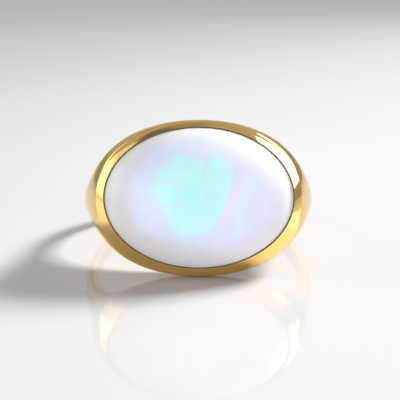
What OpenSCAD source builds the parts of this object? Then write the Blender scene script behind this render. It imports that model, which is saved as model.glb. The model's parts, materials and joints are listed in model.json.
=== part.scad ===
// Signet-style ring with an oval cabochon set across the finger.
// The gold body is one casting: shank, shoulders, oval head and the lip folded over the stone.
// The ring lies on its side: the head's lower edge and the back of the shank touch Z = 0.
// Millimetres. X runs along the stone's length, the stone faces -Y and tips slightly upwards.

/* [Stone] */
// Length of the oval cabochon, across the finger
stone_length = 16; // [13:0.5:19]
// Width of the oval cabochon, along the finger
stone_width = 12; // [9.5:0.5:14]
// Height of the stone, from its flat base to the top of the dome
stone_height = 3.3; // [2.9:0.1:4.5]
// Height of the straight girdle above the base
girdle_height = 0.6; // [0.4:0.1:1]
// Size of the ellipsoid that rounds the dome, as a share of the stone's own length and width
dome_spread = 1.03; // [1.01:0.01:1.1]
// Gap round the stone in its pocket
stone_clearance = 0.03; // [0.02:0.01:0.06]

/* [Bezel] */
// How far the lip is folded over the stone's edge
lip_overlap = 0.3; // [0.2:0.05:0.5]
// Thickness of the lip where it ends on the stone
lip_thickness = 0.12; // [0.08:0.02:0.24]
// Width of the narrow flat land on the lip's inner edge
lip_land = 0.04; // [0.03:0.01:0.1]
// Width of the whole rim at the ends of the oval, from the lip's inner edge to the crisp outer edge
rim_width_ends = 0.68; // [0.5:0.02:0.9]
// Width of the whole rim along the oval's long sides
rim_width_sides = 0.58; // [0.46:0.02:0.8]
// Drop of the sloping rim, from the land to the outer edge
rim_drop = 0.62; // [0.4:0.02:0.8]
// Crown of the sloping rim above a straight bevel
rim_crown = 0.025; // [0:0.005:0.05]
// Metal between the stone's base and the finger hole
floor_thickness = 1; // [0.7:0.1:1.6]

/* [Head] */
// How far the tapering sides, carried forward to the rim, would stand out past it
side_swell = 0.1; // [0.04:0.02:0.4]
// Outward slope of the sides just behind the rim
side_flare = 0.7; // [0.2:0.05:1.2]
// Softness of the bend between the flare and the taper
side_softness = 0.06; // [0.04:0.01:0.5]
// Depth, behind the stone's seat, over which the head narrows to the shank
shoulder_length = 3.1; // [2.5:0.1:7]
// Length over which the shoulders leave the round of the shank
shoulder_blend = 3.9; // [2:0.1:5]

/* [Shank] */
// Diameter of the finger hole
finger_d = 19; // [16:0.2:21]
// Thickness of the shank at the sides and the back
shank_thickness = 1; // [0.9:0.05:1.8]
// Width of the shank at the back
shank_width = 2; // [1.8:0.1:4]
// Squareness that the outline gains just behind the rim, where it stops being an ellipse
early_squareness = 0.14; // [0.1:0.02:0.5]
// Squareness that the outline gains evenly from the rim to the back of the shank
late_squareness = 6; // [3:0.5:8]
// Squareness of the rounded outer face at the back of the shank
back_squareness = 4; // [2.5:0.5:6]

/* [Hidden] */
$fn = 128;

// Facets: points round each section, steps across the rim, sections before and behind the widest place
around = 64;
rim_steps = 4;
front_steps = 24;
back_steps = 20;
// The front sections crowd towards the rim by this power
front_crowding = 1.5;
// Length over which the early squareness comes in
early_length = 1;
// The head narrows behind the seat by this power: gently at first, then like a hollow shoulder
shoulder_power = 1.5;
// An ellipse has this squareness
ellipse_squareness = 2;
// Cutters reach this far past what they cut
cut_margin = 2;

finger_r = finger_d / 2;
outer_r = finger_r + shank_thickness;
half_length = stone_length / 2;
half_width = stone_width / 2;

// Half sizes of the opening in the lip, and below of the rim's outer edge
opening_x = half_length - lip_overlap;
opening_z = half_width - lip_overlap;

// The dome is part of an ellipsoid that meets the top of the girdle; its height and its centre above the base
dome_height = (stone_height - girdle_height) / (1 - sqrt(1 - 1 / dome_spread ^ 2));
dome_centre = stone_height - dome_height;
// Height of the dome under the lip's inner edge, at the narrow sides of the oval
lip_contact = dome_centre + dome_height * sqrt(1 - (opening_z / (half_width * dome_spread)) ^ 2);

// Levels are distances from the finger axis towards the face
seat_level = finger_r + floor_thickness;
land_level = seat_level + lip_contact + lip_thickness;
rim_level = land_level - rim_drop;

rim_x = opening_x + rim_width_ends;
rim_z = opening_z + rim_width_sides;
// Widths of the sloping rim without the land, and the mean of the two
slope_x = rim_width_ends - lip_land;
slope_z = rim_width_sides - lip_land;
slope_mean = (slope_x + slope_z) / 2;

body_depth = rim_level + outer_r;
shank_z = shank_width / 2;
// The seen-from-above outline flattens from the shank's round to this share of its curvature
head_roundness = (outer_r ^ 2 - rim_x ^ 2) / rim_level ^ 2;

function roundness(y) = y >= 0 ? 1 : head_roundness + (1 - head_roundness) * exp(-(y / shoulder_blend) ^ 2);
function half_x(y) = sqrt(max(0, outer_r ^ 2 - y ^ 2 * roundness(y)));

// Half width along the finger: the flare and the hollow taper meet in a soft bend
function soft_min(a, b, soft) = (a + b - sqrt((a - b) ^ 2 + soft ^ 2)) / 2;
function flare_z(s) = rim_z + side_flare * s;
function behind_seat(s) = max(0, s - (rim_level - seat_level));
function taper_z(s) =
    shank_z + (rim_z + side_swell - shank_z) * exp(-(behind_seat(s) / shoulder_length) ^ shoulder_power);
start_error = rim_z - soft_min(flare_z(0), taper_z(0), side_softness);
function side_z(s) = soft_min(flare_z(s), taper_z(s), side_softness) + start_error * exp(-s / side_softness);
function back_round(y) = let(q = max(0, y - finger_r) / shank_thickness) (1 - q ^ back_squareness) ^ (1 / back_squareness);
function half_z(y) = side_z(y + rim_level) * back_round(y);
function squareness(y) = let(s = y + rim_level)
    ellipse_squareness + early_squareness * (1 - exp(-s / early_length)) + late_squareness * s / body_depth;

// Sections from the front to the back, each [y, half size in x, half size in z, squareness]
rim_sections = [for (i = [rim_steps:-1:1]) let(
        f = i / rim_steps,
        bulge = 4 * rim_crown * f * (1 - f),
        inset_x = slope_x * f - bulge * rim_drop / norm([slope_x, rim_drop]),
        inset_z = slope_z * f - bulge * rim_drop / norm([slope_z, rim_drop]),
        rise = rim_drop * f + bulge * slope_mean / norm([slope_mean, rim_drop]))
    [-(rim_level + rise), rim_x - inset_x, rim_z - inset_z, ellipse_squareness]];
front_sections = [for (i = [0:front_steps]) let(y = -rim_level * (1 - (i / front_steps) ^ front_crowding))
    [y, half_x(y), half_z(y), squareness(y)]];
back_sections = [for (i = [1:back_steps]) let(y = outer_r * sin(90 * i / (back_steps + 0.5)))
    [y, half_x(y), half_z(y), squareness(y)]];
sections = concat(rim_sections, front_sections, back_sections);

function signed_power(v, p) = sign(v) * abs(v) ^ p;
function section_points(row) = [for (k = [0:around - 1]) let(t = 360 * k / around)
    [row[1] * signed_power(cos(t), 2 / row[3]), row[0], row[2] * signed_power(sin(t), 2 / row[3])]];

// Resting tilt: the angle at which the head and the back of the shank stand equally low
head_rows = [for (row = sections) if (row[0] < 0) row];
back_rows = [for (row = sections) if (row[0] >= finger_r) row];
function lowest(rows, a) = min([for (row = rows) -row[2] * cos(a) - row[0] * sin(a)]);
function find_tilt(low, high, n) = let(mid = (low + high) / 2)
    n == 0 ? mid :
    lowest(head_rows, mid) < lowest(back_rows, mid) ? find_tilt(mid, high, n - 1) : find_tilt(low, mid, n - 1);
tilt = find_tilt(0, 40, 40);
rest_height = -lowest(sections, tilt);

// The middle of the resting ring along Y: the dome reaches furthest forward
dome_reach = norm([dome_height * cos(tilt), half_width * dome_spread * sin(tilt)]);
front_y = -(seat_level + dome_centre) * cos(tilt) - dome_reach;
back_y = max([for (row = sections) row[0] * cos(tilt) + row[2] * sin(tilt)]);
mid_y = (front_y + back_y) / 2;

module resting() {
    translate([0, -mid_y, rest_height]) rotate([-tilt, 0, 0]) children();
}

// Turns a shape that stands on its base so that it faces -Y, with its base at the given level
module facing(level) {
    translate([0, -level, 0]) rotate([90, 0, 0]) children();
}

// The stone grown all round by a margin: an upright oval wall, rounded off by a wider ellipsoid
module stone_form(margin) {
    x = half_length + margin;
    z = half_width + margin;
    facing(seat_level - margin) scale([1, z / x, 1]) intersection() {
        cylinder(r = x, h = stone_height + cut_margin);
        translate([0, 0, dome_centre + margin])
            scale([1, 1, (dome_height + margin) / (x * dome_spread)])
                sphere(r = x * dome_spread);
    }
}

module lip_opening() {
    facing(seat_level)
        scale([1, opening_z / opening_x, 1])
            cylinder(r = opening_x, h = land_level - seat_level + cut_margin);
}

module body_form() {
    n = len(sections);
    points = [for (row = sections) each section_points(row)];
    sides = [for (i = [0:n - 2], k = [0:around - 1]) let(a = i * around + k, b = i * around + (k + 1) % around)
        [a, b, b + around, a + around]];
    front = [for (k = [around - 1:-1:0]) k];
    back = [for (k = [0:around - 1]) (n - 1) * around + k];
    polyhedron(points, concat([front], sides, [back]), convexity = 4);
}

module ring_body() {
    color([0.83, 0.66, 0.3]) resting() difference() {
        body_form();
        cylinder(r = finger_r, h = 2 * (rim_z + side_swell + cut_margin), center = true);
        stone_form(stone_clearance);
        lip_opening();
    }
}

module cabochon() {
    color([0.85, 0.92, 0.98]) resting() stone_form(0);
}

ring_body();
cabochon();
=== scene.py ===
"""Looks of the cabochon ring: polished gold, a milky stone with a painted blue sheen, and a pale glossy
floor.

The driving sizes repeat those of the part's source, in millimetres. The meshes are built in the ring's own
frame, with the finger axis along Z and the face towards -Y, and are then laid down as the part rests.
"""
import json
import math

import bmesh
import bpy
from mathutils import Matrix, Vector

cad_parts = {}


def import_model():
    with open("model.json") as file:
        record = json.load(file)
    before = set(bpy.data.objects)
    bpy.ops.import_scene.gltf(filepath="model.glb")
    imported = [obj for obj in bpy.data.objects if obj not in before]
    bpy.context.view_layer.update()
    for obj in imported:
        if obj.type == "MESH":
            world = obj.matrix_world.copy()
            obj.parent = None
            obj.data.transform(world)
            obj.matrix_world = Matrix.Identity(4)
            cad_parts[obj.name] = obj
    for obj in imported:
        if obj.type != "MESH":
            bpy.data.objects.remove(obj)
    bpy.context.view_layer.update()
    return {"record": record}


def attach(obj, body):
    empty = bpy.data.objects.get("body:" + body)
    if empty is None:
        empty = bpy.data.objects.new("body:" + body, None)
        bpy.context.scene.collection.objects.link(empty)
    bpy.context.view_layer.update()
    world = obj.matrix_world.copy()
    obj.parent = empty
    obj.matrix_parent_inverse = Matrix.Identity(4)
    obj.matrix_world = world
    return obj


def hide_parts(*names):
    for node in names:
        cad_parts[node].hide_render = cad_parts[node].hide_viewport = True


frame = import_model()

MM = 0.001

# Driving sizes of the part, in millimetres
STONE_LENGTH = 16.0
STONE_WIDTH = 12.0
STONE_HEIGHT = 3.3
GIRDLE_HEIGHT = 0.6
DOME_SPREAD = 1.03
STONE_CLEARANCE = 0.03
LIP_OVERLAP = 0.3
LIP_THICKNESS = 0.12
LIP_LAND = 0.04
RIM_WIDTH_ENDS = 0.68
RIM_WIDTH_SIDES = 0.58
RIM_DROP = 0.62
RIM_CROWN = 0.025
FLOOR_THICKNESS = 1.0
SIDE_SWELL = 0.1
SIDE_FLARE = 0.7
SIDE_SOFTNESS = 0.06
SHOULDER_LENGTH = 3.1
SHOULDER_POWER = 1.5
SHOULDER_BLEND = 3.9
FINGER_D = 19.0
SHANK_THICKNESS = 1.0
SHANK_WIDTH = 2.0
EARLY_SQUARENESS = 0.14
LATE_SQUARENESS = 6.0
EARLY_LENGTH = 1.0
BACK_SQUARENESS = 4.0
ELLIPSE_SQUARENESS = 2.0

# Derived sizes, by the same rules as in the part
FINGER_R = FINGER_D / 2
OUTER_R = FINGER_R + SHANK_THICKNESS
HALF_LENGTH = STONE_LENGTH / 2
HALF_WIDTH = STONE_WIDTH / 2
OPENING_X = HALF_LENGTH - LIP_OVERLAP
OPENING_Z = HALF_WIDTH - LIP_OVERLAP
DOME_HEIGHT = (STONE_HEIGHT - GIRDLE_HEIGHT) / (1 - math.sqrt(1 - 1 / DOME_SPREAD**2))
DOME_CENTRE = STONE_HEIGHT - DOME_HEIGHT
LIP_CONTACT = DOME_CENTRE + DOME_HEIGHT * math.sqrt(1 - (OPENING_Z / (HALF_WIDTH * DOME_SPREAD)) ** 2)
SEAT_LEVEL = FINGER_R + FLOOR_THICKNESS
POCKET_FLOOR = SEAT_LEVEL - STONE_CLEARANCE
LAND_LEVEL = SEAT_LEVEL + LIP_CONTACT + LIP_THICKNESS
RIM_LEVEL = LAND_LEVEL - RIM_DROP
RIM_X = OPENING_X + RIM_WIDTH_ENDS
RIM_Z = OPENING_Z + RIM_WIDTH_SIDES
SLOPE_X = RIM_WIDTH_ENDS - LIP_LAND
SLOPE_Z = RIM_WIDTH_SIDES - LIP_LAND
SLOPE_MEAN = (SLOPE_X + SLOPE_Z) / 2
BODY_DEPTH = RIM_LEVEL + OUTER_R
SHANK_Z = SHANK_WIDTH / 2
HEAD_ROUNDNESS = (OUTER_R**2 - RIM_X**2) / RIM_LEVEL**2
# Half of the angle that the head takes up, seen from the finger axis
CORNER = math.atan2(RIM_X, RIM_LEVEL)

# Small roundings that only the looks need, in millimetres
BORE_ROUND = 0.22
LIP_ROUND = 0.02

# Mesh density: columns round the head, the rest of the body and the stone
HEAD_COLUMNS = 160
SIDE_COLUMNS = 216
STONE_COLUMNS = 256
# How much the side columns crowd towards the head, from 0 to 1
SIDE_CROWDING = 0.8
# Rows down the outside, round the bore's edge, along the bore, and over the rim, lip, pocket and stone
OUTER_ROWS = 52
ROUND_ROWS = 5
WALL_ROWS = 6
RIM_ROWS = 12
LIP_ROWS = 3
POCKET_ROWS = 4
STONE_ROWS = 60
# Steps of the fine profile that the outer rows follow, and the powers that crowd both towards the outline
FINE_STEPS = 240
FINE_CROWDING = 4
OUTER_CROWDING = 1.7
# Halvings that find a radius of the outline
HALVINGS = 60
# Faces that meet at more than this angle, in degrees, show a crisp edge
CRISP_DEGREES = 35


def roundness(y):
    """Curvature of the outline seen from above, as a share of the shank's round."""
    if y >= 0:
        return 1
    return HEAD_ROUNDNESS + (1 - HEAD_ROUNDNESS) * math.exp(-((y / SHOULDER_BLEND) ** 2))


def half_x(y):
    """Half width across the finger at a depth."""
    return math.sqrt(max(0.0, OUTER_R**2 - y * y * roundness(y)))


def soft_min(a, b, soft):
    """The smaller of two values, with a soft bend where they meet."""
    return (a + b - math.sqrt((a - b) ** 2 + soft * soft)) / 2


def flare_z(s):
    """Half width along the finger in the flare, at a depth behind the rim."""
    return RIM_Z + SIDE_FLARE * s


def taper_z(s):
    """Half width along the finger in the taper to the shank, which starts behind the stone's seat."""
    behind_seat = max(0.0, s - (RIM_LEVEL - SEAT_LEVEL))
    share = math.exp(-((behind_seat / SHOULDER_LENGTH) ** SHOULDER_POWER))
    return SHANK_Z + (RIM_Z + SIDE_SWELL - SHANK_Z) * share


START_ERROR = RIM_Z - soft_min(flare_z(0), taper_z(0), SIDE_SOFTNESS)


def half_z(y):
    """Half width along the finger at a depth."""
    s = y + RIM_LEVEL
    q = min(1.0, max(0.0, y - FINGER_R) / SHANK_THICKNESS)
    side = soft_min(flare_z(s), taper_z(s), SIDE_SOFTNESS) + START_ERROR * math.exp(-s / SIDE_SOFTNESS)
    return side * (1 - q**BACK_SQUARENESS) ** (1 / BACK_SQUARENESS)


def squareness(y):
    """How square a section is: an ellipse at the rim, rounded corners at the shank."""
    s = y + RIM_LEVEL
    early = EARLY_SQUARENESS * (1 - math.exp(-s / EARLY_LENGTH))
    return ELLIPSE_SQUARENESS + early + LATE_SQUARENESS * s / BODY_DEPTH


def height(angle, r):
    """Height of the body's upper face at an angle round the finger, 0 at the face, and a radius."""
    x = abs(r * math.sin(angle))
    y = max(-RIM_LEVEL, -r * math.cos(angle))
    wide = half_x(y)
    if x >= wide:
        return 0.0
    n = squareness(y)
    return half_z(y) * (1 - (x / wide) ** n) ** (1 / n)


def contour_radius(angle):
    """Radius of the outline seen from above: the rim's plane across the head, the half_x curve elsewhere."""
    if abs(angle) <= CORNER:
        return RIM_LEVEL / math.cos(angle)
    low, high = FINGER_R, 2 * RIM_LEVEL
    for _ in range(HALVINGS):
        r = (low + high) / 2
        y = -r * math.cos(angle)
        outside = y < -RIM_LEVEL or abs(r * math.sin(angle)) > half_x(y)
        low, high = (low, r) if outside else (r, high)
    return low


def resample(points, count, crowd):
    """Points along a polyline, crowded towards its start by a power."""
    lengths = [0.0]
    for a, b in zip(points, points[1:]):
        lengths.append(lengths[-1] + math.dist(a, b))
    out = []
    j = 0
    for k in range(count + 1):
        want = lengths[-1] * (k / count) ** crowd
        while j < len(points) - 2 and lengths[j + 1] < want:
            j += 1
        span = lengths[j + 1] - lengths[j]
        f = min(1.0, (want - lengths[j]) / span) if span > 0 else 0.0
        out.append(tuple(a + (b - a) * f for a, b in zip(points[j], points[j + 1])))
    return out


def fine_profile(angle):
    """Finely spaced (radius, height) points of the body's upper face, from the outline to the bore's edge."""
    far = contour_radius(angle)
    fine = []
    for k in range(FINE_STEPS + 1):
        r = far - (far - FINGER_R) * (k / FINE_STEPS) ** FINE_CROWDING
        fine.append((r, height(angle, r)))
    return fine


def bore_rounding(fine):
    """The rounded edge between a fine profile and the bore: length cut off the profile, start and centre."""
    corner = fine[-1]
    back = next(p for p in reversed(fine) if math.dist(p, corner) > BORE_ROUND)
    reach = math.dist(back, corner)
    along = ((back[0] - corner[0]) / reach, (back[1] - corner[1]) / reach)
    half_angle = math.acos(max(-1.0, min(1.0, -along[1]))) / 2
    cut = BORE_ROUND / math.tan(half_angle)
    start = (corner[0] + along[0] * cut, corner[1] + along[1] * cut)
    bisector = (along[0], along[1] - 1)
    size = math.hypot(*bisector)
    centre_reach = BORE_ROUND / math.sin(half_angle)
    centre = tuple(corner[i] + bisector[i] / size * centre_reach for i in (0, 1))
    return cut, start, centre


def column(angle):
    """Upper half of the body's profile: (radius, height) from the outline to the middle of the bore."""
    fine = fine_profile(angle)
    cut, start, centre = bore_rounding(fine)
    kept = [p for p in fine if math.dist(p, fine[-1]) > cut] + [start]
    rows = resample(kept, OUTER_ROWS, OUTER_CROWDING)
    first = math.atan2(start[1] - centre[1], start[0] - centre[0])
    for k in range(1, ROUND_ROWS + 1):
        a = first + (math.pi - first) * k / ROUND_ROWS
        rows.append((centre[0] + BORE_ROUND * math.cos(a), centre[1] + BORE_ROUND * math.sin(a)))
    top = rows[-1][1]
    for k in range(1, WALL_ROWS + 1):
        rows.append((FINGER_R, top * (1 - k / WALL_ROWS)))
    return rows


def rest_matrix():
    """Places the ring's own frame, in millimetres, as the part rests, in metres."""
    bore = frame["record"]["mounts"][0]
    axis = Vector(bore["axis"])
    tilt = math.atan2(axis.y, axis.z)
    return Matrix.Translation(Vector(bore["pos_m"])) @ Matrix.Rotation(-tilt, 4, "X") @ Matrix.Scale(MM, 4)


REST = rest_matrix()


def turn_outwards(mesh):
    """Turns all faces of a closed mesh outwards."""
    bm = bmesh.new()
    bm.from_mesh(mesh)
    bmesh.ops.recalc_face_normals(bm, faces=bm.faces)
    bm.to_mesh(mesh)
    bm.free()


def mesh_object(name, build, crisp=()):
    """A smooth-shaded object from what a builder holds. crisp is a closed row of points that stays sharp."""
    mesh = bpy.data.meshes.new(name)
    mesh.from_pydata([REST @ Vector(p) for p in build.points], [], build.faces)
    mesh.validate()
    turn_outwards(mesh)
    mesh.shade_smooth()
    mesh.set_sharp_from_angle(angle=math.radians(CRISP_DEGREES))
    crisp_pairs = {frozenset(pair) for pair in zip(crisp, crisp[1:] + crisp[:1])}
    for edge in mesh.edges:
        if frozenset(edge.vertices) in crisp_pairs:
            edge.use_edge_sharp = True
    obj = bpy.data.objects.new(name, mesh)
    bpy.context.scene.collection.objects.link(obj)
    return obj


class Builder:
    """Collects points and faces, and joins rows of points."""

    def __init__(self):
        self.points = []
        self.faces = []

    def row(self, points):
        """Adds points, and returns their numbers."""
        start = len(self.points)
        self.points += points
        return list(range(start, len(self.points)))

    def band(self, a, b):
        """Quads between two closed rows."""
        n = len(a)
        for k in range(n):
            self.faces.append((a[k], a[(k + 1) % n], b[(k + 1) % n], b[k]))

    def skin(self, row, ovals):
        """Bands from a closed row over further ones. Returns the last row."""
        for points in ovals:
            new = self.row(points)
            self.band(row, new)
            row = new
        return row

    def cap(self, row, point):
        """A fan from a closed row to one point."""
        tip = self.row([point])[0]
        n = len(row)
        for k in range(n):
            self.faces.append((row[k], row[(k + 1) % n], tip))


def oval(count, x, level, z):
    """A closed oval row of points facing -Y. level is a number, or a function of x and z."""
    out = []
    for k in range(count):
        a = 2 * math.pi * k / count
        px, pz = x * math.cos(a), z * math.sin(a)
        out.append((px, -(level(px, pz) if callable(level) else level), pz))
    return out


def column_angles():
    """Angles round the finger: across the head from +X to -X, then round the back to +X again."""
    head = []
    for k in range(HEAD_COLUMNS + 1):
        head.append(math.atan2(RIM_X * math.cos(math.pi * k / HEAD_COLUMNS), RIM_LEVEL))
    sweep = 2 * math.pi - 2 * CORNER
    side = []
    for k in range(1, SIDE_COLUMNS):
        share = k / SIDE_COLUMNS
        share -= SIDE_CROWDING * math.sin(2 * math.pi * share) / (2 * math.pi)
        angle = -CORNER - sweep * share
        side.append(angle if angle > -math.pi else angle + 2 * math.pi)
    return head, side


def pocket_level(x, z):
    """Distance of the pocket's domed roof from the finger axis."""
    wide = (HALF_LENGTH + STONE_CLEARANCE) * DOME_SPREAD
    deep = (HALF_WIDTH + STONE_CLEARANCE) * DOME_SPREAD
    rise = math.sqrt(max(0.0, 1 - (x / wide) ** 2 - (z / deep) ** 2))
    return SEAT_LEVEL + DOME_CENTRE + (DOME_HEIGHT + STONE_CLEARANCE) * rise


def add_shell(build):
    """The outside and the bore, in columns mirrored up and down. Returns the row of the rim's outer edge."""
    head, side = column_angles()
    upper, lower = [], []
    for j, angle in enumerate(head + side):
        inside_head = 0 < j < len(head) - 1
        rows = column(angle)
        points = [(r * math.sin(angle), -r * math.cos(angle), z) for r, z in rows]
        top = build.row(points)
        last = len(points) - 1
        # Both halves share the middle of the bore, and the outline where it isn't the rim's edge
        shared = (last,) if inside_head else (0, last)
        bottom = []
        for k, (x, y, z) in enumerate(points):
            bottom.append(top[k] if k in shared else build.row([(x, y, -z)])[0])
        upper.append(top)
        lower.append(bottom)
    count = len(upper)
    for j in range(count):
        a, b = upper[j], upper[(j + 1) % count]
        c, d = lower[j], lower[(j + 1) % count]
        for k in range(len(a) - 1):
            build.faces.append((a[k], b[k], b[k + 1], a[k + 1]))
            build.faces.append((c[k], c[k + 1], d[k + 1], d[k]))
    front = [upper[j][0] for j in range(len(head))]
    under = [lower[j][0] for j in range(len(head) - 2, 0, -1)]
    return front + under


def rim_ovals(count):
    """Rows up the crowned slope of the rim, from inside its outer edge to its land."""
    for k in range(1, RIM_ROWS + 1):
        f = k / RIM_ROWS
        bulge = 4 * RIM_CROWN * f * (1 - f)
        inset_x = SLOPE_X * f - bulge * RIM_DROP / math.hypot(SLOPE_X, RIM_DROP)
        inset_z = SLOPE_Z * f - bulge * RIM_DROP / math.hypot(SLOPE_Z, RIM_DROP)
        rise = RIM_DROP * f + bulge * SLOPE_MEAN / math.hypot(SLOPE_MEAN, RIM_DROP)
        yield oval(count, RIM_X - inset_x, RIM_LEVEL + rise, RIM_Z - inset_z)


def lip_ovals(count):
    """Rows over the lip's rounded inner edge."""
    for k in range(LIP_ROWS + 1):
        a = math.pi / 2 * k / LIP_ROWS
        back = LIP_ROUND * (1 - math.sin(a))
        level = LAND_LEVEL - LIP_ROUND * (1 - math.cos(a))
        yield oval(count, OPENING_X + back, level, OPENING_Z + back)


def pocket_ovals(count):
    """Rows out along the pocket's domed roof, and one round its floor."""
    wide, deep = HALF_LENGTH + STONE_CLEARANCE, HALF_WIDTH + STONE_CLEARANCE
    for k in range(POCKET_ROWS + 1):
        f = k / POCKET_ROWS
        x = OPENING_X + (wide - OPENING_X) * f
        z = OPENING_Z + (deep - OPENING_Z) * f
        yield oval(count, x, pocket_level, z)
    yield oval(count, wide, POCKET_FLOOR, deep)


def add_setting(build, edge):
    """The rim with its narrow land, the lip and the stone's pocket, inwards from the rim's outer edge."""
    count = len(edge)
    setting = (*rim_ovals(count), *lip_ovals(count), *pocket_ovals(count))
    build.cap(build.skin(edge, setting), (0, -POCKET_FLOOR, 0))


def gold_body():
    """The shank, shoulders, head and setting as one closed skin."""
    build = Builder()
    edge = add_shell(build)
    add_setting(build, edge)
    return mesh_object("polished_body", build, edge)


def dome_ovals():
    """Rows up the stone's ellipsoid dome, from the top of its girdle."""
    start = math.asin(1 / DOME_SPREAD)
    for k in range(STONE_ROWS):
        a = start * (1 - k / STONE_ROWS)
        x = HALF_LENGTH * DOME_SPREAD * math.sin(a)
        z = HALF_WIDTH * DOME_SPREAD * math.sin(a)
        level = SEAT_LEVEL + DOME_CENTRE + DOME_HEIGHT * math.cos(a)
        yield oval(STONE_COLUMNS, x, level, z)


def stone():
    """The cabochon: flat base, upright girdle and dome."""
    build = Builder()
    base = build.row(oval(STONE_COLUMNS, HALF_LENGTH, SEAT_LEVEL, HALF_WIDTH))
    build.cap(base, (0, -SEAT_LEVEL, 0))
    build.cap(build.skin(base, dome_ovals()), (0, -(SEAT_LEVEL + STONE_HEIGHT), 0))
    return mesh_object("moonstone", build)


def node(tree, kind, inputs=None, **settings):
    """A shader node with its settings and its unlinked input values."""
    new = tree.nodes.new(kind)
    for key, value in settings.items():
        setattr(new, key, value)
    for key, value in (inputs or {}).items():
        new.inputs[key].default_value = value
    return new


def feed(tree, socket, source):
    """Links a source to a socket, or sets the socket to a plain value."""
    if isinstance(source, bpy.types.NodeSocket):
        tree.links.new(source, socket)
    else:
        socket.default_value = source


def maths(tree, operation, a, b=0.0):
    """The result of a Math node."""
    new = node(tree, "ShaderNodeMath", operation=operation)
    feed(tree, new.inputs[0], a)
    feed(tree, new.inputs[1], b)
    return new.outputs[0]


def soft_step(tree, value, middle, soft, start=0.0, end=1.0):
    """Goes smoothly from start to end where a value passes the middle."""
    limits = {"From Min": middle - soft, "From Max": middle + soft, "To Min": start, "To Max": end}
    new = node(tree, "ShaderNodeMapRange", limits, interpolation_type="SMOOTHSTEP")
    feed(tree, new.inputs["Value"], value)
    return new.outputs[0]


# Sockets of a Mix node for each kind of data: its two inputs and its output
MIX_SOCKETS = {"FLOAT": (2, 3, 0), "RGBA": (6, 7, 2)}


def mix(tree, kind, factor, a, b):
    """a where the factor is 0, b where it is 1."""
    first, second, result = MIX_SOCKETS[kind]
    new = node(tree, "ShaderNodeMix", data_type=kind)
    feed(tree, new.inputs[0], factor)
    feed(tree, new.inputs[first], a)
    feed(tree, new.inputs[second], b)
    return new.outputs[result]


def material(name, inputs):
    """A new material with plain values on its shader, and its node tree and shader."""
    mat = bpy.data.materials.new(name)
    mat.use_nodes = True
    tree = mat.node_tree
    shader = tree.nodes["Principled BSDF"]
    for key, value in inputs.items():
        shader.inputs[key].default_value = value
    return mat, tree, shader


def own_coordinates(tree, level):
    """Coordinates in millimetres in the ring's own frame, from the middle of the face at a level."""
    coords = node(tree, "ShaderNodeTexCoord")
    front = REST @ Vector((0, -level, 0))
    values = {"Location": front, "Rotation": REST.to_euler(), "Scale": (MM, MM, MM)}
    place = node(tree, "ShaderNodeMapping", values, vector_type="TEXTURE")
    tree.links.new(coords.outputs["Object"], place.inputs["Vector"])
    return place.outputs[0]


def noise(tree, coords, scale, detail=2.0, stretch=(1, 1, 1)):
    """A noise about 0.5, with a scale in features per millimetre. stretch multiplies the coordinates."""
    if stretch != (1, 1, 1):
        place = node(tree, "ShaderNodeMapping", {"Scale": stretch})
        tree.links.new(coords, place.inputs["Vector"])
        coords = place.outputs[0]
    new = node(tree, "ShaderNodeTexNoise", {"Scale": scale, "Detail": detail})
    tree.links.new(coords, new.inputs["Vector"])
    return new


# Gold: its two mixed tones, and the roughness of its polish, from and to, and of its scratches
GOLD_DEEP = (0.94, 0.62, 0.19, 1)
GOLD_PALE = (0.99, 0.68, 0.25, 1)
GOLD_ROUGHNESS = (0.05, 0.11)
SCRATCH_ROUGHNESS = 0.2
# Scratches are this many times as long as they are wide
SCRATCH_STRETCH = 22
# Waves left by the polishing, in millimetres, and how strongly they show
WAVE_RELIEF = 0.02
WAVE_STRENGTH = 0.25


def gold():
    """Polished gold: faint waves left by the polishing, and hairline scratches from wear."""
    mat, tree, shader = material("polished_gold", {"Metallic": 1.0})
    coords = own_coordinates(tree, 0)
    tone = noise(tree, coords, scale=0.5)
    colour = mix(tree, "RGBA", tone.outputs["Fac"], GOLD_DEEP, GOLD_PALE)
    tree.links.new(colour, shader.inputs["Base Color"])
    hairs = noise(tree, coords, scale=1.4, detail=3.0, stretch=(1, 1, SCRATCH_STRETCH))
    scratch = soft_step(tree, hairs.outputs["Fac"], middle=0.66, soft=0.04)
    polish = noise(tree, coords, scale=0.9, detail=3.0)
    rough = mix(tree, "FLOAT", polish.outputs["Fac"], *GOLD_ROUGHNESS)
    tree.links.new(mix(tree, "FLOAT", scratch, rough, SCRATCH_ROUGHNESS), shader.inputs["Roughness"])
    waves = noise(tree, coords, scale=0.35, detail=1.0)
    bump = node(tree, "ShaderNodeBump", {"Strength": WAVE_STRENGTH, "Distance": WAVE_RELIEF * MM})
    tree.links.new(waves.outputs["Fac"], bump.inputs["Height"])
    tree.links.new(bump.outputs[0], shader.inputs["Normal"])
    return mat


# Colours of the stone, and of the painted shade along the seam where it meets the lip
STONE_BASE = (0.72, 0.71, 0.74, 1)
PAINTED_SHEEN_LAVENDER = (0.72, 0.74, 1.0, 1)
PAINTED_SHEEN_BLUE = (0.68, 0.82, 1.0, 1)
PAINTED_SHEEN_CYAN = (0.55, 1.0, 1.0, 1)
PINK = (0.82, 0.74, 0.95, 1)
WARM = (0.74, 0.66, 0.58, 1)
VEIL = (0.86, 0.86, 0.92, 1)
PAINTED_SEAM_SHADE = (0.10, 0.055, 0.015, 1)
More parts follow.
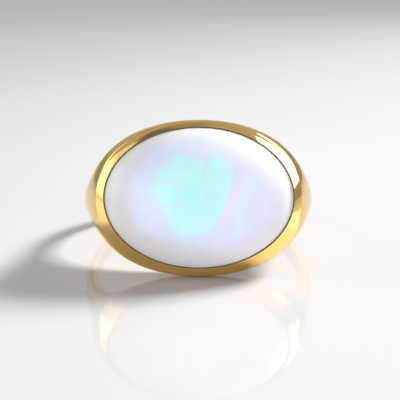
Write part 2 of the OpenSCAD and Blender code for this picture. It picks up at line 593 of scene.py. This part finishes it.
# Zones of colour on the stone, in millimetres from the middle of its face, painted one over the other
# The lavender, pale blue and cyan zones are the stone's blue sheen, painted into its colour
STONE_ZONES = (
    # colour, (across, up), (half width, half height), lean in degrees, softness, strength
    (PAINTED_SHEEN_LAVENDER, (0.1, 0.2), (6.0, 4.3), 0, 0.16, 1.0),
    (PAINTED_SHEEN_BLUE, (-0.5, 0.3), (4.4, 3.6), 0, 0.3, 0.8),
    (PAINTED_SHEEN_CYAN, (-1.3, 0.7), (2.3, 2.4), 0, 0.3, 0.95),
    (PAINTED_SHEEN_CYAN, (0.9, 0.8), (2.1, 2.1), 0, 0.25, 0.9),
    (PAINTED_SHEEN_CYAN, (-0.3, -1.1), (2.2, 1.9), 0, 0.3, 0.8),
    (PINK, (2.6, -0.3), (0.5, 2.8), 24, 0.7, 0.8),
    (PAINTED_SHEEN_BLUE, (3.4, -0.8), (0.45, 2.2), 12, 0.6, 0.7),
    (PAINTED_SHEEN_BLUE, (4.5, 1.0), (0.4, 0.4), 0, 0.8, 0.5),
    (PINK, (0.5, 2.9), (0.16, 1.1), 4, 0.8, 0.7),
    (PINK, (-2.8, 1.2), (0.9, 0.12), 8, 0.9, 0.5),
    (PINK, (-2.5, -0.7), (0.8, 0.14), -6, 0.9, 0.5),
    (PINK, (1.0, 0.0), (0.6, 0.3), 0, 0.9, 0.35),
    (WARM, (-6.0, -0.7), (0.5, 1.8), 8, 0.8, 0.35),
    (WARM, (-2.6, -3.7), (1.3, 0.35), 6, 0.8, 0.3),
    (WARM, (0.8, -3.8), (0.3, 0.3), 0, 0.8, 0.25),
)
# Width of the painted shade line along the seam, in millimetres, and softness of its edge as a share of the
# oval
PAINTED_SEAM_SHADE_WIDTH = 0.07
PAINTED_SEAM_SHADE_SOFTNESS = 0.006
# Half width under which a zone is a streak, and how far the outlines of zones and of streaks wander
STREAK_WIDTH = 0.7
ZONE_WANDER = 2.2
STREAK_WANDER = 0.8
# How strongly the pale veil shows
VEIL_STRENGTH = 0.25
# Roughness of the stone's polish, from and to, and the plain values of its shader
STONE_ROUGHNESS = (0.05, 0.13)
STONE_SURFACE = {
    "Subsurface Weight": 0.25,
    "Subsurface Radius": (1.0, 1.0, 1.0),
    "Subsurface Scale": 0.6 * MM,
    "IOR": 1.52,
}
# An oval on the face reaches this far in depth, in millimetres, so that depth doesn't count
MASK_DEPTH = 1e6


def oval_mask(tree, coords, middle, half, lean, soft):
    """1 inside an upright oval on the face, in millimetres, fading over its edge."""
    values = {
        "Location": (middle[0], 0, middle[1]),
        "Rotation": (0, math.radians(lean), 0),
        "Scale": (half[0], MASK_DEPTH, half[1]),
    }
    place = node(tree, "ShaderNodeMapping", values, vector_type="TEXTURE")
    tree.links.new(coords, place.inputs["Vector"])
    reach = node(tree, "ShaderNodeVectorMath", operation="LENGTH")
    tree.links.new(place.outputs[0], reach.inputs[0])
    return soft_step(tree, reach.outputs["Value"], 1.0, soft, start=1.0, end=0.0)


def warped(tree, coords, push, reach):
    """Coordinates pushed about by a noise, up to a reach in millimetres, so that outlines are feathered."""
    moved = node(tree, "ShaderNodeVectorMath", operation="MULTIPLY_ADD")
    tree.links.new(push, moved.inputs[0])
    moved.inputs[1].default_value = (reach, 0, reach)
    tree.links.new(coords, moved.inputs[2])
    return moved.outputs[0]


def moonstone():
    """Milky stone with a painted blue sheen whose edges are feathered, and a line of painted shade where it
    meets the lip.
    """
    mat, tree, shader = material("milky_moonstone", STONE_SURFACE)
    coords = own_coordinates(tree, LAND_LEVEL)
    wander = noise(tree, coords, scale=0.55, detail=5.0)
    centred = node(tree, "ShaderNodeVectorMath", operation="SUBTRACT")
    tree.links.new(wander.outputs["Color"], centred.inputs[0])
    centred.inputs[1].default_value = (0.5, 0.5, 0.5)
    feathered = warped(tree, coords, centred.outputs[0], ZONE_WANDER)
    wavy = warped(tree, coords, centred.outputs[0], STREAK_WANDER)
    colour = STONE_BASE
    for tint, middle, half, lean, soft, strength in STONE_ZONES:
        drawn_on = feathered if min(half) > STREAK_WIDTH else wavy
        mask = maths(tree, "MULTIPLY", oval_mask(tree, drawn_on, middle, half, lean, soft), strength)
        colour = mix(tree, "RGBA", mask, colour, tint)
    cloud = noise(tree, coords, scale=0.8, detail=6.0, stretch=(1, 1, 0.7))
    cloudy = soft_step(tree, cloud.outputs["Fac"], middle=0.58, soft=0.14)
    colour = mix(tree, "RGBA", maths(tree, "MULTIPLY", cloudy, VEIL_STRENGTH), colour, VEIL)
    # A dark line of painted shade round the edge of the opening, where the lip shades the stone
    seen = (OPENING_X - PAINTED_SEAM_SHADE_WIDTH, OPENING_Z - PAINTED_SEAM_SHADE_WIDTH)
    inside = oval_mask(tree, coords, (0, 0), seen, 0, PAINTED_SEAM_SHADE_SOFTNESS)
    colour = mix(tree, "RGBA", inside, PAINTED_SEAM_SHADE, colour)
    tree.links.new(colour, shader.inputs["Base Color"])
    fine = noise(tree, coords, scale=2.5, detail=3.0)
    rough = mix(tree, "FLOAT", fine.outputs["Fac"], *STONE_ROUGHNESS)
    tree.links.new(rough, shader.inputs["Roughness"])
    return mat


# Floor: half of its side in metres, its drop under the ring so that their faces don't meet, and its look
FLOOR_HALF = 1.5
FLOOR_DROP = 0.02 * MM
FLOOR_LOOK = {"Base Color": (0.51, 0.502, 0.506, 1.0), "Roughness": 0.06}


def stage():
    """The plain pale floor."""
    mesh = bpy.data.meshes.new("floor")
    corners = [(x * FLOOR_HALF, y * FLOOR_HALF, 0) for x, y in ((-1, -1), (1, -1), (1, 1), (-1, 1))]
    mesh.from_pydata(corners, [], [(0, 1, 2, 3)])
    obj = bpy.data.objects.new("floor", mesh)
    obj.location.z = -FLOOR_DROP
    bpy.context.scene.collection.objects.link(obj)
    obj.data.materials.append(material("pale_floor", FLOOR_LOOK)[0])


# The camera, from fitting the outline in the photo and its reflection. FACE_PIXEL is where the middle of the
# lip's plane falls
PHOTO_SIZE = 400
CAMERA_PITCH = math.radians(13.8)
CAMERA_YAW = math.radians(0.59)
CAMERA_DISTANCE = 75.4 * MM
FOCAL_PIXELS = 936.3
FACE_PIXEL = (199.05, 197.6)
SENSOR = 36.0
NEAREST = 5 * MM


def camera():
    """The camera at the photo's angle, aimed so that the middle of the face falls on its pixel."""
    data = bpy.data.cameras.new("camera")
    data.sensor_width = SENSOR
    data.lens = FOCAL_PIXELS / PHOTO_SIZE * SENSOR
    data.clip_start = NEAREST
    obj = bpy.data.objects.new("camera", data)
    bpy.context.scene.collection.objects.link(obj)
    face = REST @ Vector((0, -LAND_LEVEL, 0))
    turn = Matrix.Rotation(-CAMERA_YAW, 3, "Z") @ Matrix.Rotation(math.pi / 2 - CAMERA_PITCH, 3, "X")
    right, up, back = turn.col
    across = (FACE_PIXEL[0] - PHOTO_SIZE / 2) / FOCAL_PIXELS * CAMERA_DISTANCE
    rise = (PHOTO_SIZE / 2 - FACE_PIXEL[1]) / FOCAL_PIXELS * CAMERA_DISTANCE
    obj.location = face + back * CAMERA_DISTANCE - right * across - up * rise
    obj.rotation_euler = turn.to_euler()
    bpy.context.scene.camera = obj


# Distance of the soft lamps from the ring, in metres
LAMP_DISTANCE = 0.45
# Name, azimuth (0 behind the camera, 90 to its right) and elevation in degrees, size in metres, radiance,
# whether the lamp shows in reflections, and whether it lights surfaces
LAMPS = (
    ("right_softbox", 98, 35, (0.34, 0.36), 5.5, True, False),
    ("key_lamp", 120, 39, (0.14, 0.12), 84.0, False, True),
    ("face_lamp", 8, 13, (0.2, 0.2), 4.8, False, True),
)


def softbox(name, azimuth, elevation, size, radiance, in_reflections, on_surfaces):
    """A rectangular light that faces the ring."""
    data = bpy.data.lights.new(name, "AREA")
    data.shape = "RECTANGLE"
    data.size, data.size_y = size
    data.energy = radiance * math.pi * size[0] * size[1]
    obj = bpy.data.objects.new(name, data)
    a, e = math.radians(azimuth), math.radians(elevation)
    way = Vector((math.sin(a) * math.cos(e), -math.cos(a) * math.cos(e), math.sin(e)))
    obj.location = way * LAMP_DISTANCE
    obj.rotation_euler = way.to_track_quat("Z", "Y").to_euler()
    obj.visible_glossy = in_reflections
    obj.visible_diffuse = on_surfaces
    bpy.context.scene.collection.objects.link(obj)


# Pale cards and dark gaps round the studio, one over the other: radiance, middle azimuth and half width,
# elevation from and to, and softness sideways and upwards, in degrees
STUDIO_RADIANCE = 0.33
STUDIO_CARDS = (
    (0.48, 180, 62, -20, 57, 14, 6),
    (0.76, 180, 13, 9, 34, 13, 6),
    (0.30, -135, 9, -20, 24, 9, 7),
    (0.30, 137, 9, -20, 24, 10, 7),
    (0.47, 135, 32, 58, 76, 14, 7),
    (0.17, -126, 20, 54, 72, 9, 4),
    (0.90, -91.5, 26.5, 2.5, 54, 1.5, 3),
    (2.00, -91.5, 26.5, 2.5, 34, 1.5, 8),
    (1.60, 0, 46, -20, 30, 16, 12),
    (0.10, 0, 14, -20, 27, 5, 5),
)


def card(tree, direction, elevation, below, radiance, azimuth, half_width, low, high, soft_side, soft_rise):
    """Lays one card over the radiance below it."""
    a = math.radians(azimuth)
    across = node(tree, "ShaderNodeVectorMath", operation="DOT_PRODUCT")
    across.inputs[1].default_value = (math.cos(a), math.sin(a), 0)
    along = node(tree, "ShaderNodeVectorMath", operation="DOT_PRODUCT")
    along.inputs[1].default_value = (math.sin(a), -math.cos(a), 0)
    for part in (across, along):
        tree.links.new(direction, part.inputs[0])
    turn = maths(tree, "ABSOLUTE", maths(tree, "ARCTAN2", across.outputs["Value"], along.outputs["Value"]))
    inside = soft_step(tree, turn, math.radians(half_width), math.radians(soft_side), 1.0, 0.0)
    above = soft_step(tree, elevation, math.radians(low), math.radians(soft_rise))
    under = soft_step(tree, elevation, math.radians(high), math.radians(soft_rise), 1.0, 0.0)
    mask = maths(tree, "MULTIPLY", inside, maths(tree, "MULTIPLY", above, under))
    return mix(tree, "FLOAT", mask, below, radiance)


def world():
    """The studio round the ring, as radiance by direction."""
    new = bpy.data.worlds.new("studio")
    new.use_nodes = True
    tree = new.node_tree
    direction = node(tree, "ShaderNodeTexCoord").outputs["Generated"]
    split = node(tree, "ShaderNodeSeparateXYZ")
    tree.links.new(direction, split.inputs[0])
    elevation = maths(tree, "ARCSINE", split.outputs["Z"])
    radiance = STUDIO_RADIANCE
    for row in STUDIO_CARDS:
        radiance = card(tree, direction, elevation, radiance, *row)
    background = tree.nodes["Background"]
    background.inputs["Color"].default_value = (1, 1, 1, 1)
    tree.links.new(radiance, background.inputs["Strength"])
    bpy.context.scene.world = new


def lights():
    """The studio and its lamps."""
    world()
    for row in LAMPS:
        softbox(*row)


def pieces():
    """The two pieces of the ring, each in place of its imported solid."""
    body = gold_body()
    body.data.materials.append(gold())
    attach(body, "root")
    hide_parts("ring_body")
    gem = stone()
    gem.data.materials.append(moonstone())
    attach(gem, "root")
    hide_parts("cabochon")


pieces()
stage()
camera()
lights()
bpy.context.scene.view_settings.view_transform = "Standard"
